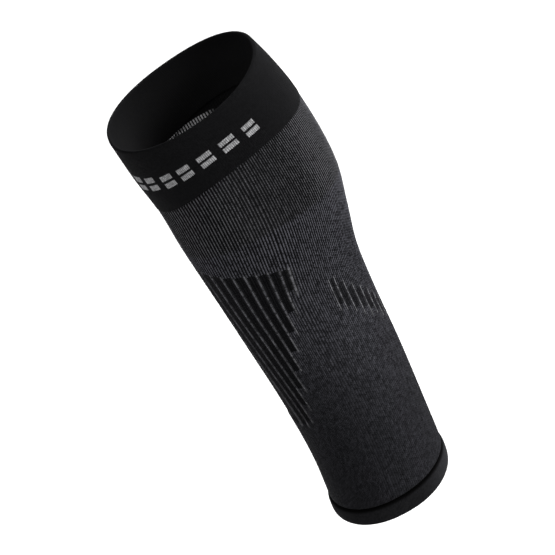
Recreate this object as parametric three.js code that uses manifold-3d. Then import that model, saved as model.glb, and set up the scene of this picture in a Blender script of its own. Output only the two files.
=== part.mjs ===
// A knitted compression sleeve for the lower leg, open at the knee and at the ankle,
// in the form that a leg gives it. Millimetres, +Z up the leg, shin towards -X, calf towards +X.
// Three pieces: a doubled cuff at the knee, a ribbed tube with sunken bars, and a rolled hem at the ankle.

import * as THREE from "three";
import { ParametricGeometry } from "three/addons/geometries/ParametricGeometry.js";
import { mergeVertices } from "three/addons/utils/BufferGeometryUtils.js";
import Module from "manifold-3d";

// Heights are measured up the leg from the ankle edge.
const SLEEVE_LENGTH = 315;
const CUFF_HEIGHT = 48;
const HEM_HEIGHT = 12;
// The origin lies on the leg's axis at the widest part of the calf, which carries the sleeve.
const CALF_HEIGHT = 240;

// Walls, measured from the leg form: outside is positive, towards the skin is negative.
const CUFF_WALL = { outside: 0.3, inside: -2.1 };
const TUBE_WALL = { outside: 0, inside: -1.5 };
const HEM_WALL = { outside: 1.0, inside: -1.8 };
const PIECE_GAP = 0.3;

// The leg form. A section is a rounded oval: width runs from shin to calf, depth from side to side,
// centre is how far its middle lies towards the calf, tip is how much its calf edge stands higher
// than its shin edge, and crown is how much its two sides stand higher than shin and calf.
const LEG_SECTIONS = [
  { height: 0, centre: -2.5, width: 81.2, depth: 83, tip: 4, crown: -3 },
  { height: 12, centre: -1.5, width: 81.6, depth: 80, tip: 6, crown: -3 },
  { height: 40, centre: 0, width: 81.2, depth: 78, tip: 2, crown: -2 },
  { height: 90, centre: 0, width: 85.4, depth: 81, tip: 6, crown: -2 },
  { height: 140, centre: -2, width: 90.9, depth: 85, tip: 6, crown: -1 },
  { height: 175, centre: -3, width: 96.9, depth: 91, tip: -3, crown: -1 },
  { height: 200, centre: -1.5, width: 104.3, depth: 98, tip: 0, crown: 1 },
  { height: 225, centre: 0, width: 111.2, depth: 105, tip: 8, crown: 5 },
  { height: 267, centre: -3, width: 110, depth: 105, tip: 26, crown: 9 },
  { height: 290, centre: -7.5, width: 109, depth: 104, tip: 26, crown: 5 },
  { height: 315, centre: -12.5, width: 106, depth: 105.5, tip: 17, crown: -1.6 },
];
const SECTION_COLUMNS = ["centre", "width", "depth", "tip", "crown"];
// 2 would be an ellipse, and larger powers square the oval off.
const OVAL_POWER = 2.2;

// The knit has 170 ribs around, numbered from the shin. A bar sinks three of them and leaves the fourth
// standing, and the first bar of a zone sinks two. Each zone is mirrored on the leg's other side.
// A step is the change from one bar to the next.
const RIBS = 170;
const BAR_RIBS = 3;
const FIRST_BAR_RIBS = 2;
const BAR_DEPTH = 0.5;
const LOWEST_BAR = 82;
const BAR_ZONES = [
  { bars: 10, rib: 37, ribStep: -4, top: 196.5, topStep: 1.4, bottom: 181.5, bottomStep: -13.8 },
  { bars: 8, rib: 53, ribStep: 4, top: 175.5, topStep: -7.3, bottom: 154, bottomStep: -5.6 },
];
// The ribs lie wider apart at the shin than at the calf, by these degrees at a height and less below it.
const SIDE_SPREAD = 8;
const SHIN_SPREAD = 6.5;
const SPREAD_HEIGHT = 200;
const SPREAD_PER_MM = 0.0027;
// Below the calf the knit is pulled apart at the middle of the shin, which moves the ribs beside it
// by up to this turn. The pull grows from the top height down to the foot height. It is full at a few
// degrees from the middle, and fades out at the reach.
const FAN_TURN = 24;
const FAN_TOP = 205;
const FAN_FOOT = 85;
const FAN_START = 4;
const FAN_REACH = 75;

const AROUND = 60;
const TUBE_ROWS = 21;
const TUBE_LINING_ROWS = 12;
const CUFF_ROWS = 5;
const HEM_ROWS = 2;
const FOLD_STEPS = 4;
const BAR_ROW_HEIGHT = 16;

const radians = THREE.MathUtils.degToRad;
const lerp = THREE.MathUtils.lerp;

const legColumns = new THREE.CubicInterpolant(
  LEG_SECTIONS.map((section) => section.height),
  LEG_SECTIONS.flatMap((section) => SECTION_COLUMNS.map((column) => section[column])),
  SECTION_COLUMNS.length,
);

function signedPower(value, power) {
  return Math.sign(value) * Math.abs(value) ** power;
}

// The point at a height and turn on the leg form, moved straight out by an offset.
function legPoint(height, turn, offset, target) {
  const [centre, width, depth, tip, crown] = legColumns.evaluate(height);
  const front = Math.cos(turn);
  const side = Math.sin(turn);
  const across = signedPower(front, 2 / OVAL_POWER);
  const out = new THREE.Vector2(
    signedPower(front, 2 - 2 / OVAL_POWER) / width,
    signedPower(side, 2 - 2 / OVAL_POWER) / depth,
  ).normalize().multiplyScalar(offset);
  return target.set(
    centre - (width / 2) * across - out.x,
    -(depth / 2) * signedPower(side, 2 / OVAL_POWER) - out.y,
    height - CALF_HEIGHT + crown * side * side - (tip / 2) * across,
  );
}

// The outline of a wall cut along the leg: up the outside, over the top edge, down the inside and
// under the bottom edge. Rounded edges are half circles as wide as the wall.
function wallOutline({ bottom, top, wall, rows, liningRows, roundTop, roundBottom }) {
  const middle = (wall.outside + wall.inside) / 2;
  const radius = (wall.outside - wall.inside) / 2;
  const low = roundBottom ? bottom + radius : bottom;
  const high = roundTop ? top - radius : top;
  const outline = [];
  for (let row = 0; row <= rows; row++) {
    outline.push({ height: lerp(low, high, row / rows), offset: wall.outside });
  }
  if (roundTop) outline.push(...foldOutline(high, middle, radius, 1));
  for (let row = 0; row <= liningRows; row++) {
    outline.push({ height: lerp(high, low, row / liningRows), offset: wall.inside });
  }
  if (roundBottom) outline.push(...foldOutline(low, middle, radius, -1));
  return outline;
}

// The points between the two ends of a half circle that bulges up (+1) or down (-1).
function foldOutline(height, middle, radius, way) {
  const points = [];
  for (let step = 1; step < FOLD_STEPS; step++) {
    const angle = (Math.PI * step) / FOLD_STEPS;
    points.push({
      height: height + way * radius * Math.sin(angle),
      offset: middle + way * radius * Math.cos(angle),
    });
  }
  return points;
}

// Sweeps a wall outline around the leg into one closed solid.
function wallGeometry(outline) {
  const place = (around, along, target) => {
    const { height, offset } = outline[Math.round(along * outline.length) % outline.length];
    legPoint(height, (around % 1) * 2 * Math.PI, offset, target);
  };
  return weld(new ParametricGeometry(place, AROUND, outline.length));
}

// Where a rib lies at a height: the turn around the leg from the shin.
function ribTurn(rib, height) {
  const even = (rib / RIBS) * 360;
  const wave = SIDE_SPREAD * Math.sin(radians(even)) + SHIN_SPREAD * Math.sin(radians(2 * even));
  const spread = (1 + SPREAD_PER_MM * (height - SPREAD_HEIGHT)) * wave;
  const pull = THREE.MathUtils.clamp((FAN_TOP - height) / (FAN_TOP - FAN_FOOT), 0, 1);
  const near = Math.max(1 - Math.abs(even) / FAN_REACH, 0);
  const fan = FAN_TURN * pull * near * Math.tanh(even / FAN_START);
  return radians(even + spread + fan);
}

// A box bent onto the leg form, which cuts one bar into the tube.
function barGeometry(rib, ribs, bottom, top) {
  const rows = Math.ceil((top - bottom) / BAR_ROW_HEIGHT);
  const box = new THREE.BoxGeometry(ribs, 1, 2 * BAR_DEPTH, 1, rows, 1);
  const corners = box.getAttribute("position");
  const point = new THREE.Vector3();
  for (let i = 0; i < corners.count; i++) {
    const height = lerp(bottom, top, corners.getY(i) + 0.5);
    legPoint(height, ribTurn(rib + corners.getX(i), height), corners.getZ(i), point);
    corners.setXYZ(i, point.x, point.y, point.z);
  }
  return weld(box);
}

function weld(geometry) {
  geometry.deleteAttribute("normal");
  geometry.deleteAttribute("uv");
  return mergeVertices(geometry);
}

// Every bar of both zones, on both sides of the leg.
function barGeometries() {
  const bars = [];
  for (const zone of BAR_ZONES) {
    for (let bar = 0; bar < zone.bars; bar++) {
      const ribs = bar === 0 ? FIRST_BAR_RIBS : BAR_RIBS;
      const rib = zone.rib + bar * zone.ribStep + (Math.sign(zone.ribStep) * (BAR_RIBS - ribs)) / 2;
      const bottom = Math.max(zone.bottom + bar * zone.bottomStep, LOWEST_BAR);
      const top = zone.top + bar * zone.topStep;
      bars.push(barGeometry(rib, ribs, bottom, top), barGeometry(-rib, ribs, bottom, top));
    }
  }
  return bars;
}

const wasm = await Module();
wasm.setup();

function toSolid(geometry) {
  return new wasm.Manifold(new wasm.Mesh({
    numProp: 3,
    vertProperties: new Float32Array(geometry.getAttribute("position").array),
    triVerts: new Uint32Array(geometry.index.array),
  }));
}

function fromSolid(solid) {
  const mesh = solid.getMesh();
  const geometry = new THREE.BufferGeometry();
  geometry.setAttribute("position", new THREE.BufferAttribute(mesh.vertProperties, 3));
  geometry.setIndex(new THREE.BufferAttribute(mesh.triVerts, 1));
  return geometry;
}

function cutBars(tube) {
  let solid = toSolid(tube);
  for (const bar of barGeometries()) solid = solid.subtract(toSolid(bar));
  return fromSolid(solid);
}

function piece(name, geometry, color, roughness) {
  geometry.computeVertexNormals();
  const mesh = new THREE.Mesh(geometry, new THREE.MeshStandardMaterial({ color, roughness, metalness: 0 }));
  mesh.name = name;
  return mesh;
}

const cuff = wallGeometry(wallOutline({
  bottom: SLEEVE_LENGTH - CUFF_HEIGHT,
  top: SLEEVE_LENGTH,
  wall: CUFF_WALL,
  rows: CUFF_ROWS,
  liningRows: CUFF_ROWS,
  roundTop: true,
  roundBottom: false,
}));

const tube = wallGeometry(wallOutline({
  bottom: HEM_HEIGHT + PIECE_GAP,
  top: SLEEVE_LENGTH - CUFF_HEIGHT - PIECE_GAP,
  wall: TUBE_WALL,
  rows: TUBE_ROWS,
  liningRows: TUBE_LINING_ROWS,
  roundTop: false,
  roundBottom: false,
}));

const hem = wallGeometry(wallOutline({
  bottom: 0,
  top: HEM_HEIGHT,
  wall: HEM_WALL,
  rows: HEM_ROWS,
  liningRows: HEM_ROWS,
  roundTop: true,
  roundBottom: true,
}));

const sleeve = new THREE.Group();
sleeve.add(
  piece("cuff", cuff, "#131315", 0.9),
  piece("calf_sleeve", cutBars(tube), "#2d2d31", 0.85),
  piece("ankle_hem", hem, "#131315", 0.9),
);

export default sleeve;
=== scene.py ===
import math

import bpy
import numpy as np
from mathutils import Matrix, Vector


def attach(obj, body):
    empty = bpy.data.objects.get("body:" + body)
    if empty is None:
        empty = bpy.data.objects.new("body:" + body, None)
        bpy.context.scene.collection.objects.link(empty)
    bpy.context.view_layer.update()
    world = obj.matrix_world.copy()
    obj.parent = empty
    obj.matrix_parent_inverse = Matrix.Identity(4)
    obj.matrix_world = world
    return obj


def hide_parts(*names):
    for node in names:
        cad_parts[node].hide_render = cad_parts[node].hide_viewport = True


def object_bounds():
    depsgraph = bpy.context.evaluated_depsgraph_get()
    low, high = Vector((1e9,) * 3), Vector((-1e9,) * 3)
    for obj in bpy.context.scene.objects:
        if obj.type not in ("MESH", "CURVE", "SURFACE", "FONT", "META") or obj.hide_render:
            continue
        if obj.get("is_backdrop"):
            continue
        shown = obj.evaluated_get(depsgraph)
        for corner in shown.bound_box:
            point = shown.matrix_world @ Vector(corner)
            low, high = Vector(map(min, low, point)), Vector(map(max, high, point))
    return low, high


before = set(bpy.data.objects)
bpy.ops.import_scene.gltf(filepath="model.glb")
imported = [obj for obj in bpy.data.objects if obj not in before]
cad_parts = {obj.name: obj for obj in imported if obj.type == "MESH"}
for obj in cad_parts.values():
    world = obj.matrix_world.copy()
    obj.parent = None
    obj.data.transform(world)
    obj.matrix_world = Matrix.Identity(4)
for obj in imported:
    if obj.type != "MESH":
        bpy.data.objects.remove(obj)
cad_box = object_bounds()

# A knitted compression sleeve for the lower leg, in the form that a leg gives it.
# Sizes are millimetres in the part's frame: +Z up the leg, shin towards -X, calf towards +X.
# Heights are measured up the leg from the ankle edge, turns in degrees around it from the shin.
MM = 0.001
SLEEVE_LENGTH = 315
CUFF_HEIGHT = 48
HEM_HEIGHT = 12
CALF_HEIGHT = 240
PIECE_GAP = 0.3
CUFF_TOP = SLEEVE_LENGTH
CUFF_FOOT = SLEEVE_LENGTH - CUFF_HEIGHT
TUBE_TOP = CUFF_FOOT - PIECE_GAP
TUBE_FOOT = HEM_HEIGHT + PIECE_GAP

# Walls, from the leg form: outside is positive, towards the skin is negative.
CUFF_WALL = {"outside": 0.3, "inside": -2.1}
TUBE_WALL = {"outside": 0.0, "inside": -1.5}

# The leg form. A section is a rounded oval: width runs from shin to calf, depth from side to side,
# centre is how far its middle lies towards the calf, tip is how much its calf edge stands higher
# than its shin edge, and crown is how much its two sides stand higher than shin and calf.
SECTION_COLUMNS = ("height", "centre", "width", "depth", "tip", "crown")
LEG_SECTIONS = (
    (0, -2.5, 81.2, 83, 4, -3),
    (12, -1.5, 81.6, 80, 6, -3),
    (40, 0, 81.2, 78, 2, -2),
    (90, 0, 85.4, 81, 6, -2),
    (140, -2, 90.9, 85, 6, -1),
    (175, -3, 96.9, 91, -3, -1),
    (200, -1.5, 104.3, 98, 0, 1),
    (225, 0, 111.2, 105, 8, 5),
    (267, -3, 110, 105, 26, 9),
    (290, -7.5, 109, 104, 26, 5),
    (315, -12.5, 106, 105.5, 17, -1.6),
)
# 2 would be an ellipse, and larger powers square the oval off.
OVAL_POWER = 2.2

# The knit has 170 ribs around, numbered from the shin. They stand out by one depth near the ankle
# and by another at the calf.
RIBS = 170
ANKLE_RELIEF = 0.14
ANKLE_RELIEF_HEIGHT = 40
CALF_RELIEF = 0.4
CALF_RELIEF_HEIGHT = 220

# A bar sinks three ribs and leaves the fourth standing, and the first bar of a zone sinks two.
# Each zone is mirrored on the leg's other side. A step is the change from one bar to the next.
# Black is how dark the bars are, and pale how light the ribs between them are.
BAR_RIBS = 3
FIRST_BAR_RIBS = 2
BAR_DEPTH = 0.5
LOWEST_BAR = 82
ZONE_COLUMNS = ("bars", "rib", "rib_step", "top", "top_step", "bottom", "bottom_step", "black", "pale")
BAR_ZONES = (
    (10, 37, -4, 196.5, 1.4, 181.5, -13.8, 1.0, 0.52),
    (8, 53, 4, 175.5, -7.3, 154, -5.6, 0.85, 1.0),
)
# A bar's black stays inside its edge by this share of a rib, and the pale ribs beside the bar run on
# below it by the tail.
BAR_EDGE = 0.1
PALE_TAIL = 1
# A rib with bars on both sides is duller by this share than one at the edge of its zone.
DULL_SHARE = 0.5

# The ribs lie wider apart at the shin than at the calf, by these degrees at a height and less below it.
SIDE_SPREAD = 8
SHIN_SPREAD = 6.5
SPREAD_HEIGHT = 200
SPREAD_PER_MM = 0.0027
# Below the calf the knit is pulled apart at the middle of the shin, which moves the ribs beside it
# by up to this turn. The pull grows from the top height down to the foot height. It is full at a few
# degrees from the middle, and fades out at the reach.
FAN_TURN = 24
FAN_TOP = 205
FAN_FOOT = 85
FAN_START = 4
FAN_REACH = 75
# The turn up to which the ribs are pulled far apart.
PULLED_TURN = 27

# The hem's outline as height and offset, up the outside, over its tucked-in top and down the inside:
# a bulge under a groove.
HEM_OUTLINE = (
    (0.0, -0.5),
    (0.8, 0.7),
    (3.2, 1.15),
    (7.4, 1.15),
    (9.8, 0.7),
    (10.8, -0.3),
    (11.3, -1.2),
    (12.0, -1.6),
    (14.0, -1.75),
    (14.0, -2.1),
    (8.0, -2.1),
    (4.0, -1.9),
    (1.0, -1.6),
)

# How finely the walls are divided: rows along the leg, steps in a fold or a curve, columns around.
TUBE_ROWS = 52
TUBE_LINING_ROWS = 14
TUBE_FOLD_STEPS = 4
CUFF_ROWS = 26
CUFF_LINING_ROWS = 16
CUFF_FOLD_STEPS = 8
HEM_STEPS = 3
COLUMNS_PER_RIB = 4
PLAIN_COLUMNS = 360
# A row this close to a square edge keeps the edge crisp in the shading.
EDGE_ROW = 0.4
# A plain row closer than this to a row at the end of a bar is left out.
ROW_CLEARANCE = 1.5


def smoothstep(value, low, high):
    share = np.clip((value - low) / (high - low), 0, 1)
    return share * share * (3 - 2 * share)


def signed_power(value, power):
    return np.sign(value) * np.abs(value) ** power


def leg_section(height):
    """The section's columns at heights, by cubics between the rows of the table.

    The slope at a row is the mean of the slopes of the two spans beside it.
    """
    table = np.array(LEG_SECTIONS, float)
    rows, values = table[:, 0], table[:, 1:]
    secant = np.diff(values, axis=0) / np.diff(rows)[:, None]
    slope = np.vstack([secant[:1], (secant[1:] + secant[:-1]) / 2, secant[-1:]])
    i = np.clip(np.searchsorted(rows, height, side="right") - 1, 0, len(rows) - 2)
    span = (rows[i + 1] - rows[i])[..., None]
    p = (height - rows[i])[..., None] / span
    start = (2 * p ** 3 - 3 * p ** 2 + 1) * values[i] + (p ** 3 - 2 * p ** 2 + p) * span * slope[i]
    end = (3 * p ** 2 - 2 * p ** 3) * values[i + 1] + (p ** 3 - p ** 2) * span * slope[i + 1]
    return dict(zip(SECTION_COLUMNS[1:], np.moveaxis(start + end, -1, 0)))


def leg_points(height, turn, offset):
    """Points on the leg form, moved straight out by an offset, in metres."""
    section = leg_section(height)
    width, depth = section["width"], section["depth"]
    front, side = np.cos(np.radians(turn)), np.sin(np.radians(turn))
    across = signed_power(front, 2 / OVAL_POWER)
    out_x = signed_power(front, 2 - 2 / OVAL_POWER) / width
    out_y = signed_power(side, 2 - 2 / OVAL_POWER) / depth
    push = offset / np.hypot(out_x, out_y)
    x = section["centre"] - width / 2 * across - push * out_x
    y = -depth / 2 * signed_power(side, 2 / OVAL_POWER) - push * out_y
    z = height - CALF_HEIGHT + section["crown"] * side ** 2 - section["tip"] / 2 * across
    return np.stack([x, y, z], -1) * MM


def rib_turn(rib, height):
    """Where a rib lies at a height: its turn around the leg from the shin."""
    even = rib / RIBS * 360
    wave = SIDE_SPREAD * np.sin(np.radians(even)) + SHIN_SPREAD * np.sin(np.radians(2 * even))
    spread = (1 + SPREAD_PER_MM * (height - SPREAD_HEIGHT)) * wave
    pull = np.clip((FAN_TOP - height) / (FAN_TOP - FAN_FOOT), 0, 1)
    near = np.maximum(1 - np.abs(even) / FAN_REACH, 0)
    return even + spread + FAN_TURN * pull * near * np.tanh(even / FAN_START)


def bars():
    """Every bar on the near side. The far side mirrors them."""
    for row in BAR_ZONES:
        zone = dict(zip(ZONE_COLUMNS, row))
        way = np.sign(zone["rib_step"])
        for bar in range(zone["bars"]):
            ribs = FIRST_BAR_RIBS if bar == 0 else BAR_RIBS
            yield {
                "rib": zone["rib"] + bar * zone["rib_step"] + way * (BAR_RIBS - ribs) / 2,
                "ribs": ribs,
                "bottom": max(zone["bottom"] + bar * zone["bottom_step"], LOWEST_BAR),
                "top": zone["top"] + bar * zone["top_step"],
                "black": zone["black"],
                "pale": zone["pale"],
            }


def bar_fields(rib, height):
    """How black each point of the tube is as part of a bar, and how pale as a rib beside one."""
    sunk = np.zeros(rib.shape)
    pale = np.zeros(rib.shape)
    for bar in bars():
        beside = np.abs(np.abs(rib) - bar["rib"]) - bar["ribs"] / 2
        within = (height > bar["bottom"]) & (height < bar["top"])
        sunk[(beside < -BAR_EDGE) & within] = bar["black"]
        near = (height > bar["bottom"] - PALE_TAIL) & (height < bar["top"])
        pale[(np.abs(beside - 0.5) < 0.5 + BAR_EDGE) & near] = bar["pale"]
    pale[sunk > 0] = 0
    reach = COLUMNS_PER_RIB + 1
    between = np.minimum(np.roll(sunk, reach, axis=1), np.roll(sunk, -reach, axis=1))
    return sunk, pale * (1 - DULL_SHARE * between)


def grid_piece(name, points, around, height, fields):
    """A closed wall from a grid of points, rows around its outline and columns around the leg."""
    rows, columns = points.shape[:2]
    row, column = np.meshgrid(np.arange(rows), np.arange(columns), indexing="ij")
    steps = ((0, 0), (0, 1), (1, 1), (1, 0))
    corner_rows = np.stack([row + r for r, c in steps], -1).reshape(-1)
    corner_columns = np.stack([column + c for r, c in steps], -1).reshape(-1)
    corners = (corner_rows % rows) * columns + corner_columns % columns

    mesh = bpy.data.meshes.new(name)
    mesh.vertices.add(rows * columns)
    mesh.vertices.foreach_set("co", points.reshape(-1))
    mesh.loops.add(len(corners))
    mesh.loops.foreach_set("vertex_index", corners)
    mesh.polygons.add(rows * columns)
    mesh.polygons.foreach_set("loop_start", np.arange(rows * columns) * len(steps))
    mesh.update(calc_edges=True)
    mesh.polygons.foreach_set("use_smooth", np.ones(rows * columns, bool))

    around = np.append(around, -around[0])
    knit = np.stack([around[corner_columns], height.reshape(-1)[corners]], -1)
    mesh.uv_layers.new(name="Knit").data.foreach_set("uv", knit.reshape(-1))
    bake = np.stack([corner_columns / columns, corner_rows / rows], -1)
    mesh.uv_layers.new(name="OFBake").data.foreach_set("uv", bake.reshape(-1))
    for field, values in fields.items():
        attribute = mesh.attributes.new(field, "FLOAT", "POINT")
        attribute.data.foreach_set("value", np.ascontiguousarray(values.reshape(-1), np.float32))
    mesh.validate()

    piece = bpy.data.objects.new(name, mesh)
    bpy.context.scene.collection.objects.link(piece)
    return piece


def wall_radius(wall):
    return (wall["outside"] - wall["inside"]) / 2


def half_round(height, wall, way, steps):
    """The rows of a half circle as wide as the wall, bulging up (+1) or down (-1)."""
    middle = (wall["outside"] + wall["inside"]) / 2
    radius = wall_radius(wall)
    angle = np.pi * np.arange(1, steps) / steps
    return list(zip(height + way * radius * np.sin(angle), middle + way * radius * np.cos(angle)))


def sweep(outline, around):
    """The outline's heights and offsets for every column around the leg."""
    height, offset = np.array(outline).T
    shape = (len(outline), len(around))
    return (
        np.broadcast_to(height[:, None], shape),
        np.broadcast_to(offset[:, None], shape),
        np.broadcast_to(around, shape),
    )


def tube_heights(low):
    """Rows about 5 mm apart, with a pair close to the end of every bar so that it is cut square."""
    ends = np.unique([bar[end] for bar in bars() for end in ("bottom", "top")])
    pairs = np.concatenate([ends - EDGE_ROW, ends + EDGE_ROW])
    plain = np.linspace(low, TUBE_TOP, TUBE_ROWS)
    spare = np.abs(plain[:, None] - pairs).min(1) > ROW_CLEARANCE
    return np.sort(np.concatenate([plain[spare], pairs, [TUBE_TOP - EDGE_ROW]]))


def make_tube():
    wall = TUBE_WALL
    low = TUBE_FOOT + wall_radius(wall)
    outer = tube_heights(low)
    lining = np.append(TUBE_TOP, np.linspace(TUBE_TOP - EDGE_ROW, low, TUBE_LINING_ROWS))
    outline = [(h, wall["outside"]) for h in outer]
    outline += [(h, wall["inside"]) for h in lining]
    outline += half_round(low, wall, -1, TUBE_FOLD_STEPS)
    columns = RIBS * COLUMNS_PER_RIB
    around = RIBS * (np.arange(columns) / columns - 0.5)
    height, offset, rib = sweep(outline, around)
    outside = (np.arange(len(outline)) < len(outer))[:, None] * np.ones(columns)

    sunk, pale = bar_fields(rib, height)
    rise = smoothstep(height, ANKLE_RELIEF_HEIGHT, CALF_RELIEF_HEIGHT)
    depth = ANKLE_RELIEF + (CALF_RELIEF - ANKLE_RELIEF) * rise
    groove = 0.5 - 0.5 * np.cos(2 * np.pi * rib)
    offset = offset - outside * np.maximum(depth * groove * (sunk == 0), BAR_DEPTH * (sunk > 0))
    turn = rib_turn(rib, height)
    fields = {
        "sunk": sunk * outside,
        "pale": pale * outside,
        "inside": 1 - outside,
        "from_shin": np.abs(turn),
    }
    return grid_piece("knit_sleeve", leg_points(height, turn, offset), around, height, fields)


def plain_turns():
    return 360 * (np.arange(PLAIN_COLUMNS) / PLAIN_COLUMNS - 0.5)


def make_cuff():
    wall = CUFF_WALL
    high = CUFF_TOP - wall_radius(wall)
    outer = np.append(CUFF_FOOT, np.linspace(CUFF_FOOT + EDGE_ROW, high, CUFF_ROWS))
    lining = np.append(np.linspace(high, CUFF_FOOT + EDGE_ROW, CUFF_LINING_ROWS), CUFF_FOOT)
    fold = half_round(high, wall, 1, CUFF_FOLD_STEPS)
    outline = [(h, wall["outside"]) for h in outer] + fold + [(h, wall["inside"]) for h in lining]
    height, offset, turn = sweep(outline, plain_turns())
    past_rim = np.arange(len(outline)) > len(outer) + len(fold) // 2
    fields = {"inside": past_rim[:, None] * np.ones(PLAIN_COLUMNS)}
    return grid_piece("knit_cuff", leg_points(height, turn, offset), plain_turns(), height, fields)


def smooth_loop(points, steps):
    """A closed curve through the points, by cubics.

    The slope at a point is that of the chord between its neighbours.
    """
    points = np.array(points, float)
    share = np.arange(steps)[:, None] / steps
    curve = []
    for i in range(len(points)):
        before, start, end, after = (points[(i + k) % len(points)] for k in (-1, 0, 1, 2))
        bend = (
            2 * start + (end - before) * share
            + (2 * before - 5 * start + 4 * end - after) * share ** 2
            + (3 * start - before - 3 * end + after) * share ** 3
        )
        curve.append(bend / 2)
    return np.concatenate(curve)


def make_hem():
    height, offset, turn = sweep(smooth_loop(HEM_OUTLINE, HEM_STEPS), plain_turns())
    return grid_piece("knit_hem", leg_points(height, turn, offset), plain_turns(), height, {})


class Field:
    """A number that a material works out at each point, so that formulas can be written as formulas."""

    def __init__(self, socket):
        self.socket = socket

    def math(self, operation, *others):
        tree = self.socket.id_data
        node = tree.nodes.new("ShaderNodeMath")
        node.operation = operation
        for slot, value in zip(node.inputs, (self, *others)):
            feed(slot, value)
        return Field(node.outputs[0])

    def __add__(self, other):
        return self.math("ADD", other)

    def __sub__(self, other):
        return self.math("SUBTRACT", other)

    def __mul__(self, other):
        return self.math("MULTIPLY", other)

    def __truediv__(self, other):
        return self.math("DIVIDE", other)

    def floor(self):
        return self.math("FLOOR")

    def fraction(self):
        return self.math("FRACT")

    def sign(self):
        return self.math("SIGN")

    def abs(self):
        return self.math("ABSOLUTE")

    def most(self, other):
        return self.math("MINIMUM", other)

    def above(self, other):
        """1 where the number is greater than the other, and 0 elsewhere."""
        return self.math("GREATER_THAN", other)

    def below(self, other):
        """1 where the number is less than the other, and 0 elsewhere."""
        return self.math("LESS_THAN", other)

    def wave(self):
        """1 at whole numbers and 0 halfway between them."""
        return (self * (2 * math.pi)).math("COSINE") * 0.5 + 0.5

    def ramp(self, low, high, start=0.0, end=1.0):
        """Goes smoothly from start to end as the number goes from low to high."""
        node = self.socket.id_data.nodes.new("ShaderNodeMapRange")
        node.interpolation_type = "SMOOTHSTEP"
        for slot, value in zip(node.inputs, (self, low, high, start, end)):
            feed(slot, value)
        return Field(node.outputs[0])


def feed(slot, value):
    if isinstance(value, Field):
        slot.id_data.links.new(value.socket, slot)
    else:
        slot.default_value = value


class Cloth:
    """A material with one shader, and the fields that its knit is worked out from."""

    SPECULAR = 0.03
    SHEEN_ROUGHNESS = 0.35
    SHEEN_TINT = (0.9, 0.92, 1.0, 1.0)

    def __init__(self, name, roughness, sheen):
        self.material = bpy.data.materials.new(name)
        self.material.use_nodes = True
        self.tree = self.material.node_tree
        self.shader = self.tree.nodes["Principled BSDF"]
        self.shader.inputs["Roughness"].default_value = roughness
        self.shader.inputs["Specular IOR Level"].default_value = self.SPECULAR
        self.shader.inputs["Sheen Weight"].default_value = sheen
        self.shader.inputs["Sheen Roughness"].default_value = self.SHEEN_ROUGHNESS
        self.shader.inputs["Sheen Tint"].default_value = self.SHEEN_TINT
        place = self.tree.nodes.new("ShaderNodeUVMap")
        place.uv_map = "Knit"
        split = self.tree.nodes.new("ShaderNodeSeparateXYZ")
        self.tree.links.new(place.outputs[0], split.inputs[0])
        self.around = Field(split.outputs[0])
        self.height = Field(split.outputs[1])

    def attribute(self, name):
        node = self.tree.nodes.new("ShaderNodeAttribute")
        node.attribute_name = name
        return Field(node.outputs["Fac"])

    def vector(self, x, y, z):
        node = self.tree.nodes.new("ShaderNodeCombineXYZ")
        for slot, value in zip(node.inputs, (x, y, z)):
            feed(slot, value)
        return node.outputs[0]

    def speckle(self, x, y, seed):
        """A random number for each cell."""
        node = self.tree.nodes.new("ShaderNodeTexWhiteNoise")
        self.tree.links.new(self.vector(x.floor(), y.floor(), seed), node.inputs["Vector"])
        return Field(node.outputs["Value"])

    def drift(self, x, y, seed):
        """A number that wanders slowly about 0.5."""
        node = self.tree.nodes.new("ShaderNodeTexNoise")
        node.inputs["Scale"].default_value = 1.0
        node.inputs["Detail"].default_value = 2.0
        self.tree.links.new(self.vector(x, y, seed), node.inputs["Vector"])
        return Field(node.outputs[0])

    def mix(self, share, first, second):
        node = self.tree.nodes.new("ShaderNodeMix")
        node.data_type = "RGBA"
        feed(node.inputs[0], share)
        for slot, colour in ((node.inputs[6], first), (node.inputs[7], second)):
            if isinstance(colour, bpy.types.NodeSocket):
                self.tree.links.new(colour, slot)
            else:
                slot.default_value = (*colour, 1.0)
        return node.outputs[2]

    def colour(self, socket):
        self.tree.links.new(socket, self.shader.inputs["Base Color"])

    def relief(self, height, depth):
        """Raises the surface in the shading by up to a depth in millimetres."""
        node = self.tree.nodes.new("ShaderNodeBump")
        node.inputs["Strength"].default_value = 1.0
        node.inputs["Distance"].default_value = depth * MM
        feed(node.inputs["Height"], height)
        self.tree.links.new(node.outputs[0], self.shader.inputs["Normal"])

    def stitches(self, around, wale_width, course_height, slant, stagger):
        """The wale's number, the way across it and the course's number.

        Wales are columns of V-shaped stitches. Slant is how steeply a stitch rises from the middle of
        its wale to the sides, in courses for a whole wale, and stagger is how many courses every second
        wale is shifted by.
        """
        wale = around / wale_width + 0.5
        across = wale.fraction() - 0.5
        odd = (wale.floor() * 0.5).fraction() * 2
        course = self.height / course_height - across.abs() * slant + odd * stagger
        return wale, across, course


BLACK_YARN = (0.0016, 0.0016, 0.0019)
UPPER_GREY_YARN = (0.066, 0.066, 0.071)
LOWER_GREY_YARN = (0.058, 0.058, 0.067)
LINING_YARN = (0.010, 0.010, 0.0104)
PALE_YARN = (0.42, 0.42, 0.43)
FLOAT_YARN = (0.8, 0.8, 0.82)
CUFF_YARN = (0.0030, 0.0030, 0.0033)
CUFF_FLECK = (0.03, 0.03, 0.033)
# Painted shade: the near-black of the hem's groove under the tube.
GROOVE_PAINTED_SHADE = (0.001, 0.001, 0.001)

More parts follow.
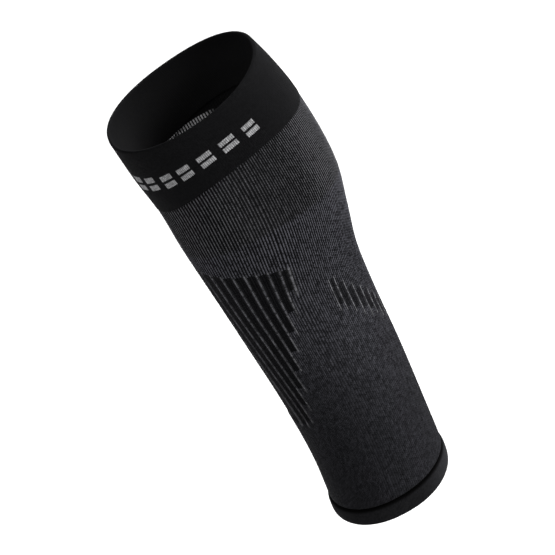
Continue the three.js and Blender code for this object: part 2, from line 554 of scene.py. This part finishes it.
# The band of floats inside: the height of its upper edge at the shin, the fall of that edge for each
# degree of turn, how soft the edge is, how long and how far around the floats are full, and where they
# have faded out. On the tube they follow the ribs. On the cuff's lining there is one in each turn of
# about a rib. A float shows where its wave is above the stripe's levels.
FLOATS = {
    "height": 283.1,
    "fall": 0.23,
    "edge": 0.6,
    "length": 10,
    "faded_length": 16,
    "reach": 86,
    "faded_reach": 94,
    "cuff_turn": 2.12,
    "stripe": (0.3, 0.6),
}

# At this height the knit changes from fine ribs below to bold ones above.
BOLD_HEIGHT = 222
# Stretches of height over which the rib knit changes: from ankle to calf, up to the widest part of the
# calf, from faint ribs to clear ones, and from the low part of the leg to the rest.
ANKLE_TO_CALF = (40, 200)
CALF_RISE = (192, BOLD_HEIGHT)
FAINT_TO_CLEAR = (80, 225)
LOW_TO_REST = (130, 165)
# Stretches of turn over which it changes: into the side of the leg and out of it, from the shin to the
# side, from there to the back, and on to the calf.
INTO_SIDE = (60, 85)
OUT_OF_SIDE = (100, 120)
SHIN_TO_SIDE = (60, 100)
SIDE_TO_BACK = (90, 112)
BACK_TO_CALF = (118, 150)

# The stitches of the ribs, as in Cloth.stitches. A wale is one rib wide.
RIB_STITCHES = {"wale_width": 1.0, "course_height": 1.7, "slant": 0.9, "stagger": 0.5}
RIB_STITCH_RELIEF = 0.25
# Patches of lighter and darker yarn, and streaks along a wale. The shift makes streaks differ from
# wale to wale, and they vary the grey from the least factor up by the range.
PATCH = {"height": 3, "per_rib": 0.55}
STREAK = {"height": 14, "shift": 7.3, "least": 0.65, "range": 0.7}
# What the fine knit has, and what the bold zone and the ankle add to it: the share of a rib's wave that
# is black groove, and how strongly the grey varies by stitch, by patch and along a wale's courses.
KNIT_COLUMNS = ("fine", "bold", "ankle")
KNIT = {
    "groove": (0.33, 0.22, 0.0),
    "stitch": (1.3, -0.3, -0.4),
    "patch": (1.4, -1.1, 0.0),
    "course": (0.8, -0.2, -0.6),
}
# The mean share of grey yarn that shows, and how much more or less shows in some parts of the knit.
# At the ankle's shin side the change is painted shade, and low on the back of the leg it is painted light.
MEAN_GREY = 0.36
GREY_AND_PAINTED_LIGHT_CHANGE = {
    "ankle": -0.57,
    "calf_rise": 0.22,
    "bold": -0.17,
    "bold_side": -0.4,
    "painted_shade_ankle_shin": -0.25,
    "painted_light_low_back": 0.28,
}
# At the calf's side of the leg that share is multiplied by these, added up where they apply. They are
# partly the stretched knit's grey and partly a painted highlight on the calf's bulge, with painted shade
# under it.
CALF_GREY_AND_HIGHLIGHT = {"fine": 0.78, "calf_rise": 0.64, "bold": 1.21}
# How far ribs and grooves differ, and how much less at the side of the bold zone.
CONTRAST = {"faint": 0.1, "clear": 0.97, "bold_side": -0.22}
# How much of the pale yarn shows beside the bars, and how much of the black yarn in them.
PALE_SHARE = 0.18
SUNK_SHARE = 0.93


def inside_floats(from_shin, height, stripe):
    """Short floats of pale yarn inside, in a band under the slanting edge of the cuff's lining."""
    below = from_shin * -FLOATS["fall"] + FLOATS["height"] - height
    band = below.ramp(0, FLOATS["edge"]) * below.ramp(FLOATS["length"], FLOATS["faded_length"], 1.0, 0.0)
    band = band * from_shin.ramp(FLOATS["reach"], FLOATS["faded_reach"], 1.0, 0.0)
    return band * stripe.ramp(*FLOATS["stripe"])


def rib_knit():
    cloth = Cloth("rib_knit", roughness=0.85, sheen=0.006)
    height = cloth.height
    from_shin = cloth.attribute("from_shin")
    # Under the bars the ribs are pulled far apart at the middle of the shin, and plain ones fill the space.
    pulled = from_shin.below(PULLED_TURN) * height.below(LOWEST_BAR)
    even = from_shin * cloth.around.sign() * (RIBS / 360)
    around = cloth.around + (even - cloth.around) * pulled
    wale, across, course = cloth.stitches(around, **RIB_STITCHES)
    rib = across.wave()
    yarn = course.wave()

    # The parts of the knit, as shares: the bold zone, the ankle, the calf's rise and the side of the leg.
    bold = height.ramp(BOLD_HEIGHT - 1, BOLD_HEIGHT + 1)
    ankle = height.ramp(*ANKLE_TO_CALF, 1.0, 0.0)
    rise = height.ramp(*CALF_RISE)
    side = from_shin.ramp(*INTO_SIDE) * from_shin.ramp(*OUT_OF_SIDE, 1.0, 0.0)

    def knit(name):
        """A number of the knit's table, at each point."""
        row = dict(zip(KNIT_COLUMNS, KNIT[name]))
        return bold * row["bold"] + ankle * row["ankle"] + row["fine"]

    # The yarn is uneven: from stitch to stitch, in patches, and along each wale.
    melange = (cloth.speckle(wale, course, seed=1.0) - 0.5) * knit("stitch") + 1
    patches = cloth.drift(around * PATCH["per_rib"], height / PATCH["height"], seed=6.0)
    mottle = (patches - 0.5) * knit("patch") + 1
    streaks = cloth.drift(wale.floor() * STREAK["shift"], height / STREAK["height"], seed=2.0)
    streak = streaks * STREAK["range"] + STREAK["least"]

    # Light is the share of grey yarn that shows: most on the ribs, which stand out less towards the ankle.
    stripe = rib.ramp(knit("groove"), 1.0)
    contrast = height.ramp(*FAINT_TO_CLEAR, CONTRAST["faint"], CONTRAST["clear"])
    contrast = contrast * (bold * side * CONTRAST["bold_side"] + 1)
    light = (stripe - MEAN_GREY) * contrast + MEAN_GREY
    light = light * ((yarn - 0.5) * knit("course") + 1) * melange * streak * mottle
    light = light * (ankle * GREY_AND_PAINTED_LIGHT_CHANGE["ankle"] + 1)
    light = light * (rise * GREY_AND_PAINTED_LIGHT_CHANGE["calf_rise"] + 1) * (bold * GREY_AND_PAINTED_LIGHT_CHANGE["bold"] + 1)
    # Over the calf the knit is stretched most and more of the grey yarn shows, and a painted highlight lies
    # on the calf's bulge. Under it less shows, which is painted shade.
    stretch_and_highlight = rise * CALF_GREY_AND_HIGHLIGHT["calf_rise"] + bold * CALF_GREY_AND_HIGHLIGHT["bold"] + CALF_GREY_AND_HIGHLIGHT["fine"]
    light = light * from_shin.ramp(*BACK_TO_CALF, 1.0, stretch_and_highlight)
    # Away from the shin the bold zone is darker. At the shin the ankle is darker, which is painted shade,
    # and low on the leg the back half is lighter, which is painted light.
    light = light * from_shin.ramp(*SHIN_TO_SIDE, 1.0, bold * GREY_AND_PAINTED_LIGHT_CHANGE["bold_side"] + 1)
    light = light * from_shin.ramp(*SHIN_TO_SIDE, ankle * GREY_AND_PAINTED_LIGHT_CHANGE["painted_shade_ankle_shin"] + 1, 1.0)
    low = height.ramp(*LOW_TO_REST, GREY_AND_PAINTED_LIGHT_CHANGE["painted_light_low_back"] + 1, 1.0)
    light = light * from_shin.ramp(*SIDE_TO_BACK, 1.0, low)

    sunk = cloth.attribute("sunk")
    pale = cloth.attribute("pale")
    inside = cloth.attribute("inside")
    grey = cloth.mix(bold, LOWER_GREY_YARN, UPPER_GREY_YARN)
    colour = cloth.mix(light.most(1.0), BLACK_YARN, grey)
    # The lines beside the bars are narrower where they are paler.
    line = rib.ramp(pale - 0.6, pale * 1.2 - 0.2) * melange
    colour = cloth.mix(pale * PALE_SHARE * line, colour, PALE_YARN)
    colour = cloth.mix(sunk * SUNK_SHARE, colour, BLACK_YARN)
    colour = cloth.mix(inside, colour, LINING_YARN)
    colour = cloth.mix(inside * inside_floats(from_shin, height, rib), colour, FLOAT_YARN)
    cloth.colour(colour)
    cloth.relief(rib * 0.5 + yarn * 0.5, RIB_STITCH_RELIEF)
    return cloth.material


# The stitches of the cuff and the hem, as in Cloth.stitches. The wale's width is a turn in degrees.
SMOOTH_STITCHES = {"wale_width": 1.2, "course_height": 1.0, "slant": 0.8, "stagger": 0.0}
SMOOTH_STITCH_RELIEF = 0.12
# How much of the fleck shows, by stitch, and on the hem also everywhere: at its front and at its back.
# The larger share at the back is painted light.
CUFF_FLECK_SHARE = 0.06
HEM_FLECK_SHARE = 0.12
HEM_FRONT_FLECK = 0.09
HEM_BACK_FLECK_AND_LIGHT = 0.36
HEM_FRONT_TO_BACK = (105, 150)
# Heights over which the hem goes black in its groove, which is painted shade under the tube, and the cuff's
# lining takes on the cuff's colour.
HEM_GROOVE_SHADE = (9.2, 10.9)
LINING_FADE = (285, 330)

# The pale strip around the near side of the cuff: turns in degrees, heights in whole courses of 1 mm.
STRIP = {
    "start": -14,
    "pitch": 15,
    "dash_share": 0.64,
    "dashes": 9,
    "height": 293.8,
    "fall": 1.23,
    "tall": 10,
    "between_rows": 2,
}
# How much of the pale yarn shows in the dashes: from the least up by the range from stitch to stitch,
# times a factor that is lowest between the wales and larger on them.
DASH = {"least": 0.45, "range": 0.45, "between_wales": 0.4, "more_on_wales": 0.6}


def strip_dashes(wale, course):
    """1 on the dashes of a strip in two rows, knitted in whole stitches, and 0 elsewhere.

    Each dash is level, and lower than the last.
    """
    place = (wale.floor() * SMOOTH_STITCHES["wale_width"] - STRIP["start"]) / STRIP["pitch"]
    number = place.floor()
    middle = (number * -STRIP["fall"] + STRIP["height"]).floor()
    rise = ((course.floor() + 0.5) * SMOOTH_STITCHES["course_height"] - middle).abs()
    rows = rise.above(STRIP["between_rows"] / 2) * rise.below(STRIP["tall"] / 2)
    shown = number.above(-0.5) * number.below(STRIP["dashes"] - 0.5)
    return rows * shown * place.fraction().below(STRIP["dash_share"])


def cuff_knit():
    cloth = Cloth("cuff_knit", roughness=0.9, sheen=0.008)
    wale, across, course = cloth.stitches(cloth.around, **SMOOTH_STITCHES)
    melange = cloth.speckle(wale, course, seed=3.0)
    inside = cloth.attribute("inside")
    dash = strip_dashes(wale, course) * inside.below(0.5)
    dash = dash * (melange * DASH["range"] + DASH["least"])
    dash = dash * (across.wave() * DASH["more_on_wales"] + DASH["between_wales"])
    floats = inside_floats(cloth.around.abs(), cloth.height, (cloth.around / FLOATS["cuff_turn"]).wave())
    colour = cloth.mix(melange * CUFF_FLECK_SHARE, CUFF_YARN, CUFF_FLECK)
    colour = cloth.mix(inside * cloth.height.ramp(*LINING_FADE, 1.0, 0.0), colour, LINING_YARN)
    colour = cloth.mix(dash, colour, PALE_YARN)
    colour = cloth.mix(inside * floats, colour, FLOAT_YARN)
    cloth.colour(colour)
    cloth.relief(across.wave() * 0.5 + course.wave() * 0.5, SMOOTH_STITCH_RELIEF)
    return cloth.material


def hem_knit():
    cloth = Cloth("hem_knit", roughness=0.9, sheen=0.012)
    wale, across, course = cloth.stitches(cloth.around, **SMOOTH_STITCHES)
    melange = cloth.speckle(wale, course, seed=5.0)
    # The hem is lighter at the back, which is painted light, and black in the groove under the tube, which
    # is painted shade.
    back = cloth.around.abs().ramp(*HEM_FRONT_TO_BACK, HEM_FRONT_FLECK, HEM_BACK_FLECK_AND_LIGHT)
    colour = cloth.mix(melange * HEM_FLECK_SHARE + back, CUFF_YARN, CUFF_FLECK)
    colour = cloth.mix(cloth.height.ramp(*HEM_GROOVE_SHADE), colour, GROOVE_PAINTED_SHADE)
    cloth.colour(colour)
    cloth.relief(across.wave() * 0.5 + course.wave() * 0.5, SMOOTH_STITCH_RELIEF)
    return cloth.material


# A row for each piece: how it is made, its material, the node that it stands for, the material slot,
# and the size in metres that it would have if it were laid flat at its worn girth.
PIECES = (
    (make_cuff, cuff_knit, "cuff", "cuff_knit", (0.33, 0.048)),
    (make_tube, rib_knit, "calf_sleeve", "rib_knit", (0.29, 0.255)),
    (make_hem, hem_knit, "ankle_hem", "hem_knit", (0.26, 0.016)),
)
for make, knit, node, slot, flat in PIECES:
    piece = make()
    piece.data.materials.append(knit())
    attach(piece, "root")
    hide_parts(node)

# The stage, in metres and watts. The lights are squares that face one point in the sleeve.
FLOOR_HEIGHT = -0.32
FLOOR_HALF_SIDE = 12
FLOOR_COLOUR = (0.95, 0.95, 0.95, 1)
FLOOR_ROUGHNESS = 0.9
WORLD_STRENGTH = 0.26
LIGHT_AIM = (0, 0, -0.05)
LIGHT_COLUMNS = ("name", "place", "side", "power")
LIGHTS = (
    ("key", (1.9, -0.85, 0.8), 1.2, 60),
    ("rim", (1.4, 0.8, 1.5), 1.0, 55),
    ("fill", (-1.2, -0.6, 1.6), 1.2, 18),
)
# The camera's place, aim, lens and sensor are in millimetres. It looks down by about 27 degrees, and its
# roll in degrees leans the knee end to the left.
CAMERA_PLACE = (-3, -1947.9, 940.2)
CAMERA_AIM = (-9.9, 5.0, -73)
CAMERA_ROLL = 26.3
CAMERA_LENS = 225.9
CAMERA_SENSOR = 36
CAMERA_NEAR = 0.05
CAMERA_FAR = 100


def add_floor():
    mesh = bpy.data.meshes.new("floor")
    sides = ((-1, -1), (1, -1), (1, 1), (-1, 1))
    corners = [(x * FLOOR_HALF_SIDE, y * FLOOR_HALF_SIDE, FLOOR_HEIGHT) for x, y in sides]
    mesh.from_pydata(corners, [], [(0, 1, 2, 3)])
    material = bpy.data.materials.new("pale_floor")
    material.use_nodes = True
    shader = material.node_tree.nodes["Principled BSDF"]
    shader.inputs["Base Color"].default_value = FLOOR_COLOUR
    shader.inputs["Roughness"].default_value = FLOOR_ROUGHNESS
    mesh.materials.append(material)
    floor = bpy.data.objects.new("floor", mesh)
    bpy.context.scene.collection.objects.link(floor)
    floor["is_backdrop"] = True


def add_world():
    world = bpy.data.worlds.new("studio")
    world.use_nodes = True
    background = world.node_tree.nodes["Background"]
    background.inputs["Color"].default_value = (1, 1, 1, 1)
    background.inputs["Strength"].default_value = WORLD_STRENGTH
    bpy.context.scene.world = world


def add_light(name, place, side, power):
    data = bpy.data.lights.new(name, "AREA")
    data.size = side
    data.energy = power
    light = bpy.data.objects.new(name, data)
    light.location = place
    light.rotation_euler = (Vector(LIGHT_AIM) - Vector(place)).to_track_quat("-Z", "Y").to_euler()
    bpy.context.scene.collection.objects.link(light)


def add_camera():
    place = Vector(CAMERA_PLACE) * MM
    back = (place - Vector(CAMERA_AIM) * MM).normalized()
    level = Vector((0, 0, 1)).cross(back).normalized()
    right = Matrix.Rotation(-math.radians(CAMERA_ROLL), 3, back) @ level
    data = bpy.data.cameras.new("camera")
    data.sensor_width = CAMERA_SENSOR
    data.lens = CAMERA_LENS
    data.clip_start = CAMERA_NEAR
    data.clip_end = CAMERA_FAR
    camera = bpy.data.objects.new("camera", data)
    turned = Matrix((right, back.cross(right), back)).transposed()
    camera.matrix_world = Matrix.Translation(place) @ turned.to_4x4()
    bpy.context.scene.collection.objects.link(camera)
    bpy.context.scene.camera = camera


add_floor()
add_world()
for row in LIGHTS:
    add_light(**dict(zip(LIGHT_COLUMNS, row)))
add_camera()
bpy.context.scene.view_settings.view_transform = "Standard"

boxes = {"cad": cad_box, "visual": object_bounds()}
{name: [list(corner) for corner in box] for name, box in boxes.items()}
